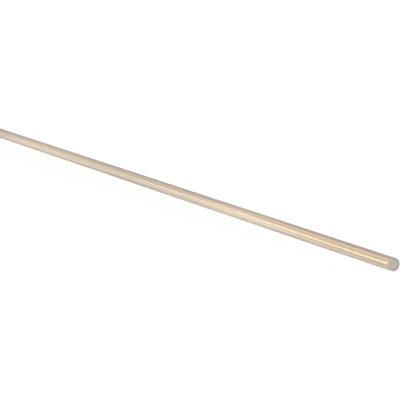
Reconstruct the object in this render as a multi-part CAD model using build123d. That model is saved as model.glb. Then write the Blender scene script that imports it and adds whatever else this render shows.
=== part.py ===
from build123d import *
import os

# A straight wooden dowel rod: one machined piece with a round section and square sawn ends.
# It lies level along X, with the origin on its axis at mid-length. Lengths are in millimetres.

# Driving dimensions
ROD_DIAMETER = 9.525  # three-eighths of an inch, a common stock diameter
ROD_LENGTH = 914.4  # thirty-six inches, the usual stock length for that diameter
ARRIS_RADIUS = 0.4  # the sawn edge round each end, broken with a little sandpaper


def long_section(diameter, length, arris_radius):
    """Half of the section along the rod, on one side of its axis, with both sawn corners eased."""
    radius = diameter / 2
    with BuildSketch(Plane.XY) as section:
        with Locations((0, radius / 2)):
            Rectangle(length, radius)
        sawn_corners = section.vertices().group_by(Axis.Y)[-1]
        fillet(sawn_corners, radius=arris_radius)
    return section.sketch


def dowel_rod(diameter, length, arris_radius):
    """The whole rod: its half section turned once round its own axis."""
    with BuildPart() as rod:
        add(long_section(diameter, length, arris_radius))
        revolve(axis=Axis.X)
    rod.part.label = "dowel_rod"
    return rod.part


os.makedirs("parts", exist_ok=True)
export_step(dowel_rod(ROD_DIAMETER, ROD_LENGTH, ARRIS_RADIUS), "parts/dowel_rod.step")
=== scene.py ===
import math
from collections import namedtuple

import bpy
from mathutils import Matrix, Vector, noise


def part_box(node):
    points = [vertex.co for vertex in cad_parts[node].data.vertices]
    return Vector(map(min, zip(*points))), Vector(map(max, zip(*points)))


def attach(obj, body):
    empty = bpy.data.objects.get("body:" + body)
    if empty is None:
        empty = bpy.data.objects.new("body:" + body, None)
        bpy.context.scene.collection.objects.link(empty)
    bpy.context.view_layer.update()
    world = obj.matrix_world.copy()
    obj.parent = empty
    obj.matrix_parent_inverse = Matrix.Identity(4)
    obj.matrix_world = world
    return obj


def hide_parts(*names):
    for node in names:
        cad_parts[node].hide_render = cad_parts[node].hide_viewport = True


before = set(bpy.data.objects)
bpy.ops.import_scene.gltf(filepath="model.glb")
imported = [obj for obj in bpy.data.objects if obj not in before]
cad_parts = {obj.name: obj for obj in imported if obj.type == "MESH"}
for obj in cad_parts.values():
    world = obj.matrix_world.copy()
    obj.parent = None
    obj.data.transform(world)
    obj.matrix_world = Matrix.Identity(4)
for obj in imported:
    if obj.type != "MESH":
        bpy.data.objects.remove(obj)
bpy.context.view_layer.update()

# A pale hardwood dowel rod that lies along X on a white floor. Lengths are in metres.

MM = 0.001

# The rod's sizes come from its solid, measured along X and Y. Only the eased edge is repeated here.
ROD_LOW, ROD_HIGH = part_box("dowel_rod")
ROD_RADIUS = (ROD_HIGH.y - ROD_LOW.y) / 2
ROD_HALF_LENGTH = (ROD_HIGH.x - ROD_LOW.x) / 2
ARRIS_RADIUS = 0.4 * MM
FLAT_RADIUS = ROD_RADIUS - ARRIS_RADIUS
SIDE_HALF_LENGTH = ROD_HALF_LENGTH - ARRIS_RADIUS
ARRIS_WAY = ARRIS_RADIUS * math.pi / 2

# The mesh of the rod: rings of points, at stations along its section from the far end to the near one.
# A station's way is how far it lies, along the skin, from the middle of its end. The side needs none.
Station = namedtuple("Station", "x radius way")
SIDES_ROUND = 112
STRIPS = 3
STRIP_STEPS = 252
SIDE_STEPS = STRIPS * STRIP_STEPS
ARRIS_STEPS = 5
END_RINGS = 24
FIRST_SIDE_BAND = ARRIS_STEPS + END_RINGS - 1

# The bake map, one unit square: the side in strips, one above the other, under a row with the two ends
MAP_MARGIN = 0.005
END_ROW_HEIGHT = 0.12
END_ROW_MIDDLE = 1 - END_ROW_HEIGHT / 2
STRIP_HEIGHT = (1 - END_ROW_HEIGHT) / STRIPS
FAR_END_ON_MAP = 0.25
NEAR_END_ON_MAP = 0.75

# Relief of the side in the mesh, cut into the true surface: soft ridges of fibre, and pits of pores
RIDGE_DEPTH = 0.006 * MM
RIDGE_WIDTH = 0.9 * MM
RIDGE_LENGTH = 70 * MM
PIT_DEPTH = 0.02 * MM
PIT_WIDTH = 0.5 * MM
PIT_LENGTH = 9 * MM
PIT_LEVEL = 0.35  # the noise, of -1 to 1, above which a pit opens

# Arcs that the saw left on the ends, as relief in the mesh and as colour
SAW_MIDDLE = Vector((75.14 * MM, -75.14 * MM))  # the blade's middle, in Y and Z from the rod's axis
SAW_WAY = (0, 1, 0)  # the way the saw went through the rod
SAW_PITCH = 1.95 * MM
SAW_WANDER = 0.5  # how much an arc strays, as a share of the pitch
SAW_WANDER_SIZE = 2 * SAW_PITCH
SAW_DEPTH = 0.03 * MM
SAW_DEPTH_FADE = 0.25  # share of the flat's radius over which the depth dies out at the edge

# Wood colours. Tone goes from 0, light, to 1, dark. In each pair, hue goes from 0, warm, to 1, grey.
SIDE_LIGHT = ((0.775, 0.62, 0.475, 1), (0.765, 0.663, 0.55, 1))
SIDE_DARK = ((0.41, 0.316, 0.232, 1), (0.40, 0.34, 0.277, 1))
SAWN_LIGHT = ((0.72, 0.62, 0.495, 1), (0.625, 0.602, 0.557, 1))
SAWN_DARK = ((0.36, 0.30, 0.235, 1), (0.345, 0.325, 0.29, 1))
# Painted shade: the dark colour laid on the ends' eased edge and rim, darkest on the side turned from
# the lamps
PAINTED_RIM_SHADE = (0.27, 0.25, 0.225, 1)

# Growth rings: their middle, the pith, lies outside the rod, down and to the front
PITH_DISTANCE = 42 * MM
PITH_ANGLE = math.radians(299)  # from -Y towards +Z
TOWARD_PITH = Vector((0, -math.cos(PITH_ANGLE), math.sin(PITH_ANGLE)))
ACROSS_PITH = TOWARD_PITH.cross((1, 0, 0))
RING_SPACING = 2.63 * MM
FIRST_RING_DEPTH = 1.91 * MM  # under the skin on the side away from the pith
RING_FADE = 0.4  # share of a year's growth over which a dark ring fades, to each side
WEAKEST_RING = 0.3
RING_SEED = 213
RUN_OUT = 3.87 * MM  # how far the grain runs off line over RUN_OUT_LENGTH, from the near end
RUN_OUT_LENGTH = 550 * MM
RING_TONE = 0.5
SAWN_RING_TONE = 0.15

# Streaks of the side are noise drawn out along the rod, in patches of a length and a width.
# The octaves are the finer ones on top, the start is a layer's place in the noise, and the amount is
# how far it moves the tone or the hue.
Streaks = namedtuple("Streaks", "length width octaves start amount")
BROAD_STREAKS = (
    Streaks(length=350 * MM, width=3.0 * MM, octaves=0, start=790.44, amount=-0.31),
    Streaks(length=250 * MM, width=2.2 * MM, octaves=0, start=224.12, amount=0.38),
    Streaks(length=300 * MM, width=1.7 * MM, octaves=1, start=52.08, amount=0.4),
    Streaks(length=220 * MM, width=1.3 * MM, octaves=1, start=348.05, amount=0.65),
)
MAIN_STREAKS = Streaks(length=120 * MM, width=1.0 * MM, octaves=2, start=14.88, amount=1.0)
LINES = Streaks(length=120 * MM, width=0.7 * MM, octaves=0, start=783.77, amount=-0.5)
FIBRES = Streaks(length=18 * MM, width=0.22 * MM, octaves=2, start=1.3, amount=0.4)
PORES = Streaks(length=4.5 * MM, width=0.13 * MM, octaves=0, start=5.9, amount=0.15)
PORE_NOISE = (0.64, 0.74)  # the noise at which a pore begins, and is full
HUE_PATCHES = Streaks(length=120 * MM, width=4.0 * MM, octaves=1, start=607.48, amount=0.9)

# Slow changes along the side: pale stretches, and wood that turns from warm to grey. Places are in X.
SIDE_TONE = 0.27
PALE_MIDDLE = 0.229
PALE_SPACING = 0.48
PALE_SWING = 0.12
WARM_PLACE = 0.6
GREY_PLACE = -0.35
HEART_GREY = 0.35  # how much greyer the side towards the pith is

# Roughness of the side, and its height in bump depths
SIDE_ROUGHNESS = 0.26
STREAK_ROUGHNESS = 0.15
PORE_ROUGHNESS = 0.15
STREAK_HEIGHT = 0.35
FIBRE_HEIGHT = 0.35
PORE_HEIGHT = -0.5

# Sawn ends: clouds, dots of pores, pale rays that point at the pith, and scratches of the saw
SAWN_TONE = 0.2
CLOUD_SIZE = 1.8 * MM
CLOUD_OCTAVES = 3
CLOUD_TONE = 0.5
DOT_SPACING = 0.22 * MM
DOT_EDGE = (0.32, 0.18)  # shares of the spacing at which a dot begins, and is full
DOT_TONE = 0.15
RAY_LENGTH = 2.2 * MM
RAY_WIDTH = 0.16 * MM
RAY_OCTAVES = 1
RAY_NOISE = (0.55, 0.7)  # the noise at which a ray begins, and is full
RAY_TONE = -0.12
SCRATCH_WIDTH = 0.14 * MM
SCRATCH_OCTAVES = 2
SCRATCH_TONE = 0.3
ARC_TONE = 0.15
SAWN_ROUGHNESS = 0.6
SCRATCH_ROUGHNESS = 0.2
SCRATCH_HEIGHT = 0.8

# Along the saw's way, an end's arcs, grey hue and the painted shade of its rim each fade in between two
# places.
ARC_FADE = (-0.9 * ROD_RADIUS, 0.0)
SAWN_HUE_FADE = (-0.8 * ROD_RADIUS, 0.6 * ROD_RADIUS)
RIM_FADE = (-0.5 * ROD_RADIUS, 0.3 * ROD_RADIUS)

# Painted shade on the rim and eased edge of an end. The end mask is 0 on the side and 1 on the flat.
RIM_RADII = (0.6 * ROD_RADIUS, 0.86 * ROD_RADIUS)
RIM_MASK = (0.0, 0.2)
RIM_SHADE_STRENGTH = 0.6
EDGE_MASK_OUTSIDE = (0.0, 0.3)
EDGE_MASK_INSIDE = (1.0, 0.8)
EDGE_SHADE_STRENGTH = 0.4
SAWN_MASK = (0.35, 0.9)  # where the side's wood gives way to the sawn wood

# Gloss and bump of the wood
WOOD_IOR = 1.5
WOOD_SPECULAR = 0.24
WOOD_SPECULAR_TINT = (1.0, 0.96, 0.9, 1)
BUMP_STRENGTH = 0.5
BUMP_DEPTH = 0.06 * MM

# Camera, fitted to the rod's edges and near end in the photograph
IMAGE_PIXELS = 400
FOCAL_PIXELS = 2129.7
SENSOR_MM = 36.0
CAMERA_FROM_NEAR_END = Vector((1.2690, -0.7012, 0.2584))
CAMERA_HEADING = math.radians(23.65)  # from -X towards +Y
CAMERA_PITCH = math.radians(8.412)  # down from level

# Light: a white horizon that fades to a dim ceiling, and soft panels.
# A panel's left and right are the ends of its middle line, as the rod sees it.
HORIZON_TOP = math.sin(math.radians(4))
CEILING_START = math.sin(math.radians(18))
CEILING_LEVEL = 0.1
SKY_COLOUR = (1, 1, 1, 1)
LIGHT_AIM = Vector((0.2, 0.0, 0.0))  # the place on the rod that the panels face
WHITE_LIGHT = (1.0, 1.0, 1.0)
WARM_LIGHT = (1.0, 0.79, 0.51)
Panel = namedtuple("Panel", "left right height watts colour")
KEY = Panel(
    left=Vector((0.9, -3.6, 1.8)),
    right=Vector((3.1, -2.2, 1.8)),
    height=1.3,
    watts=138.0,
    colour=WHITE_LIGHT,
)
BACK = Panel(
    left=Vector((0.3, 2.4, 0.36)),
    right=Vector((-1.9, 1.8, 0.36)),
    height=0.6,
    watts=52.0,
    colour=WHITE_LIGHT,
)
FILL = Panel(
    left=Vector((3.6, -1.9, 1.3)),
    right=Vector((4.1, -0.6, 1.3)),
    height=1.0,
    watts=26.0,
    colour=WHITE_LIGHT,
)
SHEEN = Panel(
    left=Vector((-1.82, -0.98, 0.46)),
    right=Vector((-1.53, -1.28, 0.0)),
    height=0.16,
    watts=8.8,
    colour=WARM_LIGHT,
)

# Floor: what it throws back at the rod, how much of what shows is lit, and the glow that is the rest.
# The glow rises to full white between two distances from the rod's middle.
FLOOR_HALF_SIZE = 30.0
FLOOR_BOUNCE = 0.42
FLOOR_LIT = 0.15
FLOOR_GLOW = 0.9
GLOW_RISE = (0.7, 1.6)


class NodeTree:
    """Adds shader nodes to a tree and links them, so that a material reads as a list of steps."""

    def __init__(self, tree):
        self.tree = tree
        self.tree.nodes.clear()

    def add(self, kind, inputs=(), **settings):
        """A new node, with its settings, and its inputs by name or number."""
        node = self.tree.nodes.new("ShaderNode" + kind)
        for name, value in settings.items():
            setattr(node, name, value)
        for key, value in dict(inputs).items():
            self.put(node.inputs[key], value)
        return node

    def put(self, socket, value):
        """Links a node's output to a socket, or sets the socket to a plain value."""
        if isinstance(value, bpy.types.NodeSocket):
            self.tree.links.new(value, socket)
        else:
            socket.default_value = value

    def math(self, operation, a, b=0.0, c=0.0):
        return self.add("Math", {0: a, 1: b, 2: c}, operation=operation).outputs[0]

    def vector(self, operation, a, b):
        return self.add("VectorMath", {0: a, 1: b}, operation=operation).outputs[0]

    def along(self, place):
        """A place's X, which is how far it lies along the rod."""
        return self.add("SeparateXYZ", {0: place}).outputs["X"]

    def across(self, place):
        """A place moved along the rod to X of zero."""
        return self.vector("MULTIPLY", place, (0, 1, 1))

    def distance(self, a, b=(0, 0, 0)):
        """How far one place lies from another, or from the origin."""
        return self.add("VectorMath", {0: a, 1: b}, operation="DISTANCE").outputs["Value"]

    def toward(self, place, way):
        """How far a place lies along a direction, from the origin."""
        return self.add("VectorMath", {0: place, 1: way}, operation="DOT_PRODUCT").outputs["Value"]

    def ramp(self, value, low, high, to_low=0.0, to_high=1.0):
        """A smooth step of value from low to high."""
        limits = {"From Min": low, "From Max": high, "To Min": to_low, "To Max": to_high}
        node = self.add("MapRange", {"Value": value, **limits}, interpolation_type="SMOOTHSTEP")
        return node.outputs["Result"]

    def mix(self, share, a, b):
        """The colour a, and b as share goes to one."""
        # This node repeats its socket names for each kind of data, so its colour sockets go by number.
        return self.add("Mix", {0: share, 6: a, 7: b}, data_type="RGBA").outputs[2]

    def blend(self, share, a, b):
        """The number a, and b as share goes to one."""
        return self.raised(a, share, self.math("SUBTRACT", b, a))

    def raised(self, level, value, amount):
        """A level with an amount of a value added."""
        return self.math("MULTIPLY_ADD", value, amount, level)

    def swung(self, level, value, amount):
        """A level that noise of 0 to 1 moves to both sides."""
        return self.raised(level, self.math("SUBTRACT", value, 0.5), amount)

    def noise(self, inputs, dimensions="3D"):
        """Noise of 0 to 1."""
        return self.add("TexNoise", inputs, noise_dimensions=dimensions).outputs["Fac"]

    def streaks(self, place, layer):
        """Noise of 0 to 1, drawn out along the rod."""
        drawn = self.add("Mapping", {
            "Vector": place,
            "Location": (layer.start,) * 3,
            "Scale": (1 / layer.length, 1 / layer.width, 1 / layer.width),
        })
        return self.noise({"Vector": drawn.outputs[0], "Scale": 1.0, "Detail": layer.octaves})


def drawn_noise(x, y, z, length, width):
    """Smooth noise of about -1 to 1, drawn out along the rod."""
    return noise.noise(Vector((x / length, y / width, z / width)))


def side_relief(x, y, z):
    """How far the sanded side lies under the true cylinder."""
    ridge = 0.5 + 0.5 * drawn_noise(x, y, z, RIDGE_LENGTH, RIDGE_WIDTH)
    pit = max(0.0, drawn_noise(x, y, z, PIT_LENGTH, PIT_WIDTH) - PIT_LEVEL) / (1 - PIT_LEVEL)
    return RIDGE_DEPTH * ridge + PIT_DEPTH * pit


def end_relief(y, z):
    """How far a sawn end lies under its true plane: arcs left by the saw, which die out at the edge."""
    turns = (Vector((y, z)) - SAW_MIDDLE).length / SAW_PITCH
    turns += SAW_WANDER * noise.noise(Vector((y, z, 0)) / SAW_WANDER_SIZE)
    arc = 0.5 + 0.5 * math.cos(math.tau * turns)
    to_edge = 1 - math.hypot(y, z) / FLAT_RADIUS
    return SAW_DEPTH * arc * min(1.0, max(0.0, to_edge / SAW_DEPTH_FADE))


def end_stations(end):
    """The stations of the far end, -1, or the near end, 1, from the side to the last ring."""
    stations = []
    for i in range(ARRIS_STEPS + 1):
        turn = math.pi / 2 * i / ARRIS_STEPS
        x = SIDE_HALF_LENGTH + ARRIS_RADIUS * math.sin(turn)
        radius = FLAT_RADIUS + ARRIS_RADIUS * math.cos(turn)
        way = FLAT_RADIUS + ARRIS_WAY * (1 - i / ARRIS_STEPS)
        stations.append(Station(end * x, radius, way))
    for i in range(1, END_RINGS):
        radius = FLAT_RADIUS * (1 - i / END_RINGS)
        stations.append(Station(end * ROD_HALF_LENGTH, radius, radius))
    return stations


def side_stations():
    """The stations of the side between its two ends."""
    steps = range(1, SIDE_STEPS)
    return [Station(SIDE_HALF_LENGTH * (2 * i / SIDE_STEPS - 1), ROD_RADIUS, None) for i in steps]


def end_mask(x):
    """Zero on the side, rising over the eased edge to one on the flat of an end."""
    return max(0.0, (abs(x) - SIDE_HALF_LENGTH) / ARRIS_RADIUS)


def skin_point(station, turn):
    """A point of the rod's skin, with its relief. The turn goes from 0 at -Y through +Z to 1."""
    y = -station.radius * math.cos(math.tau * turn)
    z = station.radius * math.sin(math.tau * turn)
    if station.radius <= FLAT_RADIUS:
        return math.copysign(abs(station.x) - end_relief(y, z), station.x), y, z
    sunk = side_relief(station.x, y, z) * (1 - end_mask(station.x))
    kept = 1 - sunk / station.radius
    return station.x, y * kept, z * kept


def side_on_map(step, strip, turn):
    """A point of the side on the bake map. Steps count from the side's far end."""
    u = MAP_MARGIN + (1 - 2 * MAP_MARGIN) * (step / STRIP_STEPS - strip)
    v = STRIP_HEIGHT * strip + MAP_MARGIN + (STRIP_HEIGHT - 2 * MAP_MARGIN) * turn
    return u, v


def end_on_map(station, turn):
    """A point of an end on the bake map, as seen from outside."""
    reach = (END_ROW_HEIGHT / 2 - MAP_MARGIN) * station.way / (FLAT_RADIUS + ARRIS_WAY)
    middle = FAR_END_ON_MAP if station.x < 0 else NEAR_END_ON_MAP
    u = middle - math.copysign(reach, station.x) * math.cos(math.tau * turn)
    v = END_ROW_MIDDLE + reach * math.sin(math.tau * turn)
    return u, v


def point_number(s, i):
    """The number of a point in the mesh: i counts round the ring at station s."""
    return s * SIDES_ROUND + i % SIDES_ROUND


def band_faces(stations):
    """The faces between the rings, and the corners of each on the bake map."""
    faces = []
    corners = []
    for band in range(len(stations) - 1):
        strip = (band - FIRST_SIDE_BAND) // STRIP_STEPS
        for i in range(SIDES_ROUND):
            quad = ((band, i + 1), (band, i), (band + 1, i), (band + 1, i + 1))
            faces.append([point_number(s, k) for s, k in quad])
            if strip in range(STRIPS):
                corners += [side_on_map(s - FIRST_SIDE_BAND, strip, k / SIDES_ROUND) for s, k in quad]
            else:
                corners += [end_on_map(stations[s], k / SIDES_ROUND) for s, k in quad]
    return faces, corners


def middle_faces(stations, middles):
    """The faces round the middle of each end, and the corners of each on the bake map."""
    faces = []
    corners = []
    for s, middle, order in ((0, 0, 1), (len(stations) - 1, 1, -1)):
        for i in range(SIDES_ROUND):
            pair = (i, i + 1)[::order]
            faces.append([point_number(len(stations), middle)] + [point_number(s, k) for k in pair])
            corners.append(end_on_map(middles[middle], 0.0))
            corners += [end_on_map(stations[s], k / SIDES_ROUND) for k in pair]
    return faces, corners


def rod_mesh():
    """A closed turned mesh of the rod, with its relief, a mask of its ends and its bake map."""
    stations = end_stations(-1)[::-1] + side_stations() + end_stations(1)
    middles = [Station(end * ROD_HALF_LENGTH, 0.0, 0.0) for end in (-1, 1)]
    places = [(station, i / SIDES_ROUND) for station in stations for i in range(SIDES_ROUND)]
    places += [(middle, 0.0) for middle in middles]
    faces, corners = band_faces(stations)
    more_faces, more_corners = middle_faces(stations, middles)

    mesh = bpy.data.meshes.new("dowel_rod_wood")
    mesh.from_pydata([skin_point(*place) for place in places], [], faces + more_faces)
    mesh.shade_smooth()
    mask = mesh.attributes.new("end_grain", "FLOAT", "POINT")
    mask.data.foreach_set("value", [end_mask(station.x) for station, turn in places])
    corners += more_corners
    bake_map = mesh.uv_layers.new(name="OFBake")
    bake_map.uv.foreach_set("vector", [number for corner in corners for number in corner])
    mesh.update()
    return mesh


def growth_rings(t, place):
    """Zero to one: dark where a year's growth ends, fading to both sides."""
    from_near_end = t.math("SUBTRACT", ROD_HIGH.x, t.along(place))
    off_line = t.ramp(from_near_end, 0.0, RUN_OUT_LENGTH, 0.0, RUN_OUT)
    shift = t.add("VectorMath", {0: TOWARD_PITH, "Scale": off_line}, operation="SCALE").outputs[0]
    grain = t.across(t.vector("ADD", place, shift))
    from_pith = t.distance(grain, TOWARD_PITH * PITH_DISTANCE)
    depth = t.math("SUBTRACT", PITH_DISTANCE + ROD_RADIUS, from_pith)
    years = t.math("DIVIDE", t.math("SUBTRACT", depth, FIRST_RING_DEPTH), RING_SPACING)
    part = t.math("FRACT", years)
    fading = t.ramp(part, 0.0, RING_FADE, 1.0, 0.0)
    rising = t.ramp(part, 1 - RING_FADE, 1.0)
    year = t.math("ADD", t.math("ROUND", years), RING_SEED)
    each = t.add("TexWhiteNoise", {"W": year}, noise_dimensions="1D").outputs["Value"]
    strength = t.raised(WEAKEST_RING, each, 1 - WEAKEST_RING)
    return t.math("MULTIPLY", t.math("MAXIMUM", fading, rising), strength)


def pale_stretches(t, place):
    """The side's tone before any grain, which goes slowly up and down along the rod."""
    from_pale = t.math("SUBTRACT", t.along(place), PALE_MIDDLE)
    wave = t.math("COSINE", t.math("MULTIPLY", from_pale, math.tau / PALE_SPACING))
    return t.raised(SIDE_TONE, wave, -PALE_SWING)


def side_hue(t, place):
    """The side's hue: greyer towards the far end and towards the pith, in patches."""
    hue = t.ramp(t.along(place), WARM_PLACE, GREY_PLACE)
    hue = t.raised(hue, t.toward(place, TOWARD_PITH), HEART_GREY / ROD_RADIUS)
    return t.swung(hue, t.streaks(place, HUE_PATCHES), HUE_PATCHES.amount)


def side_wood(t, place, rings):
    """Colour, roughness and height of the sanded side: rings, streaks, fibres and pores."""
    streak = t.streaks(place, MAIN_STREAKS)
    fibre = t.streaks(place, FIBRES)
    pore = t.ramp(t.streaks(place, PORES), *PORE_NOISE)

    tone = pale_stretches(t, place)
    for layer in BROAD_STREAKS:
        tone = t.swung(tone, t.streaks(place, layer), layer.amount)
    tone = t.swung(tone, streak, MAIN_STREAKS.amount)
    tone = t.swung(tone, t.streaks(place, LINES), LINES.amount)
    tone = t.swung(tone, fibre, FIBRES.amount)
    tone = t.raised(tone, rings, RING_TONE)
    tone = t.raised(tone, pore, PORES.amount)
    hue = side_hue(t, place)
    colour = t.mix(tone, t.mix(hue, *SIDE_LIGHT), t.mix(hue, *SIDE_DARK))

    rough = t.swung(SIDE_ROUGHNESS, streak, STREAK_ROUGHNESS)
    rough = t.raised(rough, pore, PORE_ROUGHNESS)
    height = t.math("MULTIPLY", streak, STREAK_HEIGHT)
    height = t.raised(height, fibre, FIBRE_HEIGHT)
    height = t.raised(height, pore, PORE_HEIGHT)
    return colour, rough, height


def pore_dots(t, place):
    """Zero to one in the dots that pores make on a sawn end."""
    cells = t.add("TexVoronoi", {"Vector": place, "Scale": 1 / DOT_SPACING}, feature="F1")
    return t.ramp(cells.outputs["Distance"], *DOT_EDGE)


def pale_rays(t, place):
    """Zero to one: thin pale lines on a sawn end, which run towards the pith."""
    inward = t.math("DIVIDE", t.toward(place, TOWARD_PITH), RAY_LENGTH)
    beside = t.math("DIVIDE", t.toward(place, ACROSS_PITH), RAY_WIDTH)
    drawn = t.add("CombineXYZ", {0: inward, 1: beside}).outputs[0]
    lines = t.noise({"Vector": drawn, "Scale": 1.0, "Detail": RAY_OCTAVES}, "2D")
    return t.ramp(lines, *RAY_NOISE)


def saw_arcs(t, place, from_saw, cloud):
    """Minus one to one across each arc, fading in from the side where the saw went in."""
    turns = t.swung(t.math("DIVIDE", from_saw, SAW_PITCH), cloud, SAW_WANDER)
    wave = t.math("COSINE", t.math("MULTIPLY", turns, math.tau))
    return t.math("MULTIPLY", wave, t.ramp(t.toward(place, SAW_WAY), *ARC_FADE))


def saw_scratches(t, from_saw):
    """Noise of 0 to 1 in fine lines round the saw's middle."""
    out = t.math("DIVIDE", from_saw, SCRATCH_WIDTH)
    return t.noise({"W": out, "Scale": 1.0, "Detail": SCRATCH_OCTAVES}, "1D")


def sawn_wood(t, place, rings):
    """Colour, roughness and height of a sawn end: rings, dots, rays, saw arcs and scratches."""
    cloud = t.noise({"Vector": place, "Scale": 1 / CLOUD_SIZE, "Detail": CLOUD_OCTAVES})
    from_saw = t.distance(t.across(place), (0, *SAW_MIDDLE))
    scratch = saw_scratches(t, from_saw)
    dot = pore_dots(t, place)

    tone = t.raised(SAWN_TONE, rings, SAWN_RING_TONE)
    tone = t.raised(tone, dot, DOT_TONE)
    tone = t.raised(tone, saw_arcs(t, place, from_saw, cloud), ARC_TONE)
    tone = t.raised(tone, pale_rays(t, place), RAY_TONE)
    tone = t.swung(tone, scratch, SCRATCH_TONE)
    tone = t.swung(tone, cloud, CLOUD_TONE)
    hue = t.ramp(t.toward(place, SAW_WAY), *SAWN_HUE_FADE)
    colour = t.mix(tone, t.mix(hue, *SAWN_LIGHT), t.mix(hue, *SAWN_DARK))

    rough = t.swung(SAWN_ROUGHNESS, scratch, SCRATCH_ROUGHNESS)
    height = t.math("SUBTRACT", t.math("MULTIPLY", scratch, SCRATCH_HEIGHT), dot)
    return colour, rough, height


def painted_rim_shade(t, place, mask):
    """How much painted shade darkens an end: on its eased edge, and at its rim, but for where the saw
    went in, the side that faces the key lamp.
    """
    outward = t.ramp(t.distance(t.across(place)), *RIM_RADII)
    rim = t.math("MULTIPLY", outward, t.ramp(mask, *RIM_MASK))
    rim = t.math("MULTIPLY", rim, t.ramp(t.toward(place, SAW_WAY), *RIM_FADE))
    rim = t.math("MULTIPLY", rim, RIM_SHADE_STRENGTH)
    edge = t.math("MULTIPLY", t.ramp(mask, *EDGE_MASK_OUTSIDE), t.ramp(mask, *EDGE_MASK_INSIDE))
    edge = t.math("MULTIPLY", edge, EDGE_SHADE_STRENGTH)
    return t.math("MAXIMUM", rim, edge)


def wood():
    """Bare pale hardwood, as one solid texture that both the side and the ends cut through."""
    material = bpy.data.materials.new("pale_hardwood")
    material.use_nodes = True
    t = NodeTree(material.node_tree)
    place = t.add("TexCoord").outputs["Object"]
    mask = t.add("Attribute", attribute_name="end_grain").outputs["Fac"]
    rings = growth_rings(t, place)
    side_colour, side_rough, side_height = side_wood(t, place, rings)
    sawn_colour, sawn_rough, sawn_height = sawn_wood(t, place, rings)

    sawn = t.ramp(mask, *SAWN_MASK)
    colour = t.mix(sawn, side_colour, sawn_colour)
    height = t.blend(sawn, side_height, sawn_height)
    bump = t.add("Bump", {"Strength": BUMP_STRENGTH, "Distance": BUMP_DEPTH, "Height": height})
    shader = t.add("BsdfPrincipled", {
        # the ends' eased edge and rim are darkened here with painted shade
        "Base Color": t.mix(painted_rim_shade(t, place, mask), colour, PAINTED_RIM_SHADE),
        "Roughness": t.blend(sawn, side_rough, sawn_rough),
        "Normal": bump.outputs[0],
        "IOR": WOOD_IOR,
        "Specular IOR Level": WOOD_SPECULAR,
        "Specular Tint": WOOD_SPECULAR_TINT,
    })
    t.add("OutputMaterial", {"Surface": shader.outputs[0]})
    return material


def dowel_rod():
    """The rod's own mesh and wood, in place of its solid."""
    rod = bpy.data.objects.new("rod", rod_mesh())
    bpy.context.collection.objects.link(rod)
    rod.data.materials.append(wood())
    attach(rod, "root")
    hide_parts("dowel_rod")


def direct_view(t):
    """One for rays that show a surface to the camera, straight or by gloss or glass, and else zero."""
    path = t.add("LightPath").outputs
    seen = t.math("MAXIMUM", path["Is Camera Ray"], path["Is Glossy Ray"])
    return t.math("MAXIMUM", seen, path["Is Transmission Ray"])


def white_floor():
    """Mostly glow where it shows, and partly lit white, which keeps the rod's shadow."""
    material = bpy.data.materials.new("white_floor")
    material.use_nodes = True
    t = NodeTree(material.node_tree)
    seen = direct_view(t)
    lit = t.add("BsdfDiffuse", {"Color": t.blend(seen, FLOOR_BOUNCE, FLOOR_LIT)})
    from_rod = t.distance(t.add("TexCoord").outputs["Object"])
    glow = t.ramp(from_rod, *GLOW_RISE, FLOOR_GLOW, 1.0)
    shown = t.add("Emission", {"Strength": t.math("MULTIPLY", seen, glow)})
    both = t.add("AddShader", {0: lit.outputs[0], 1: shown.outputs[0]})
    t.add("OutputMaterial", {"Surface": both.outputs[0]})
    return material


def floor():
    """A wide floor one true radius under the rod's axis. The solid's facets end a little above it."""
    mesh = bpy.data.meshes.new("floor")
    s = FLOOR_HALF_SIZE
    z = -ROD_RADIUS
    mesh.from_pydata([(-s, -s, z), (s, -s, z), (s, s, z), (-s, s, z)], [], [(0, 1, 2, 3)])
    mesh.materials.append(white_floor())
    board = bpy.data.objects.new("floor", mesh)
    bpy.context.collection.objects.link(board)


def soft_light(name, panel):
    """A flat panel of light along its middle line, facing the rod. The camera doesn't see it."""
    line = panel.right - panel.left
    lamp = bpy.data.lights.new(name, "AREA")
    lamp.shape = "RECTANGLE"
    lamp.size = line.length
    lamp.size_y = panel.height
    lamp.energy = panel.watts
    lamp.color = panel.colour
    light = bpy.data.objects.new(name, lamp)
    bpy.context.collection.objects.link(light)
    middle = (panel.left + panel.right) / 2
    along = line.normalized()
    up = (middle - LIGHT_AIM).cross(along).normalized()
    turn = Matrix((along, up, along.cross(up))).transposed()
    light.matrix_world = Matrix.Translation(middle) @ turn.to_4x4()
    light.visible_camera = False


def studio():
    """A white horizon under a dim ceiling, and four soft panels."""
    world = bpy.data.worlds.new("studio")
    world.use_nodes = True
    bpy.context.scene.world = world
    t = NodeTree(world.node_tree)
    way = t.add("SeparateXYZ", {0: t.add("TexCoord").outputs["Generated"]})
    level = t.ramp(way.outputs["Z"], HORIZON_TOP, CEILING_START, 1.0, CEILING_LEVEL)
    sky = t.add("Background", {"Color": SKY_COLOUR, "Strength": level})
    t.add("OutputWorld", {"Surface": sky.outputs[0]})
    soft_light("key", KEY)
    soft_light("back", BACK)
    soft_light("fill", FILL)
    soft_light("sheen", SHEEN)


def camera():
    """A camera at the photograph's place, from the middle of the near end."""
    lens = bpy.data.cameras.new("camera")
    lens.sensor_width = SENSOR_MM
    lens.lens = SENSOR_MM * FOCAL_PIXELS / IMAGE_PIXELS
    viewer = bpy.data.objects.new("camera", lens)
    bpy.context.collection.objects.link(viewer)
    viewer.location = Vector((ROD_HIGH.x, 0, 0)) + CAMERA_FROM_NEAR_END
    viewer.rotation_euler = (math.pi / 2 - CAMERA_PITCH, 0, math.pi / 2 - CAMERA_HEADING)
    bpy.context.scene.camera = viewer


dowel_rod()
floor()
studio()
camera()
bpy.context.scene.view_settings.view_transform = "Standard"
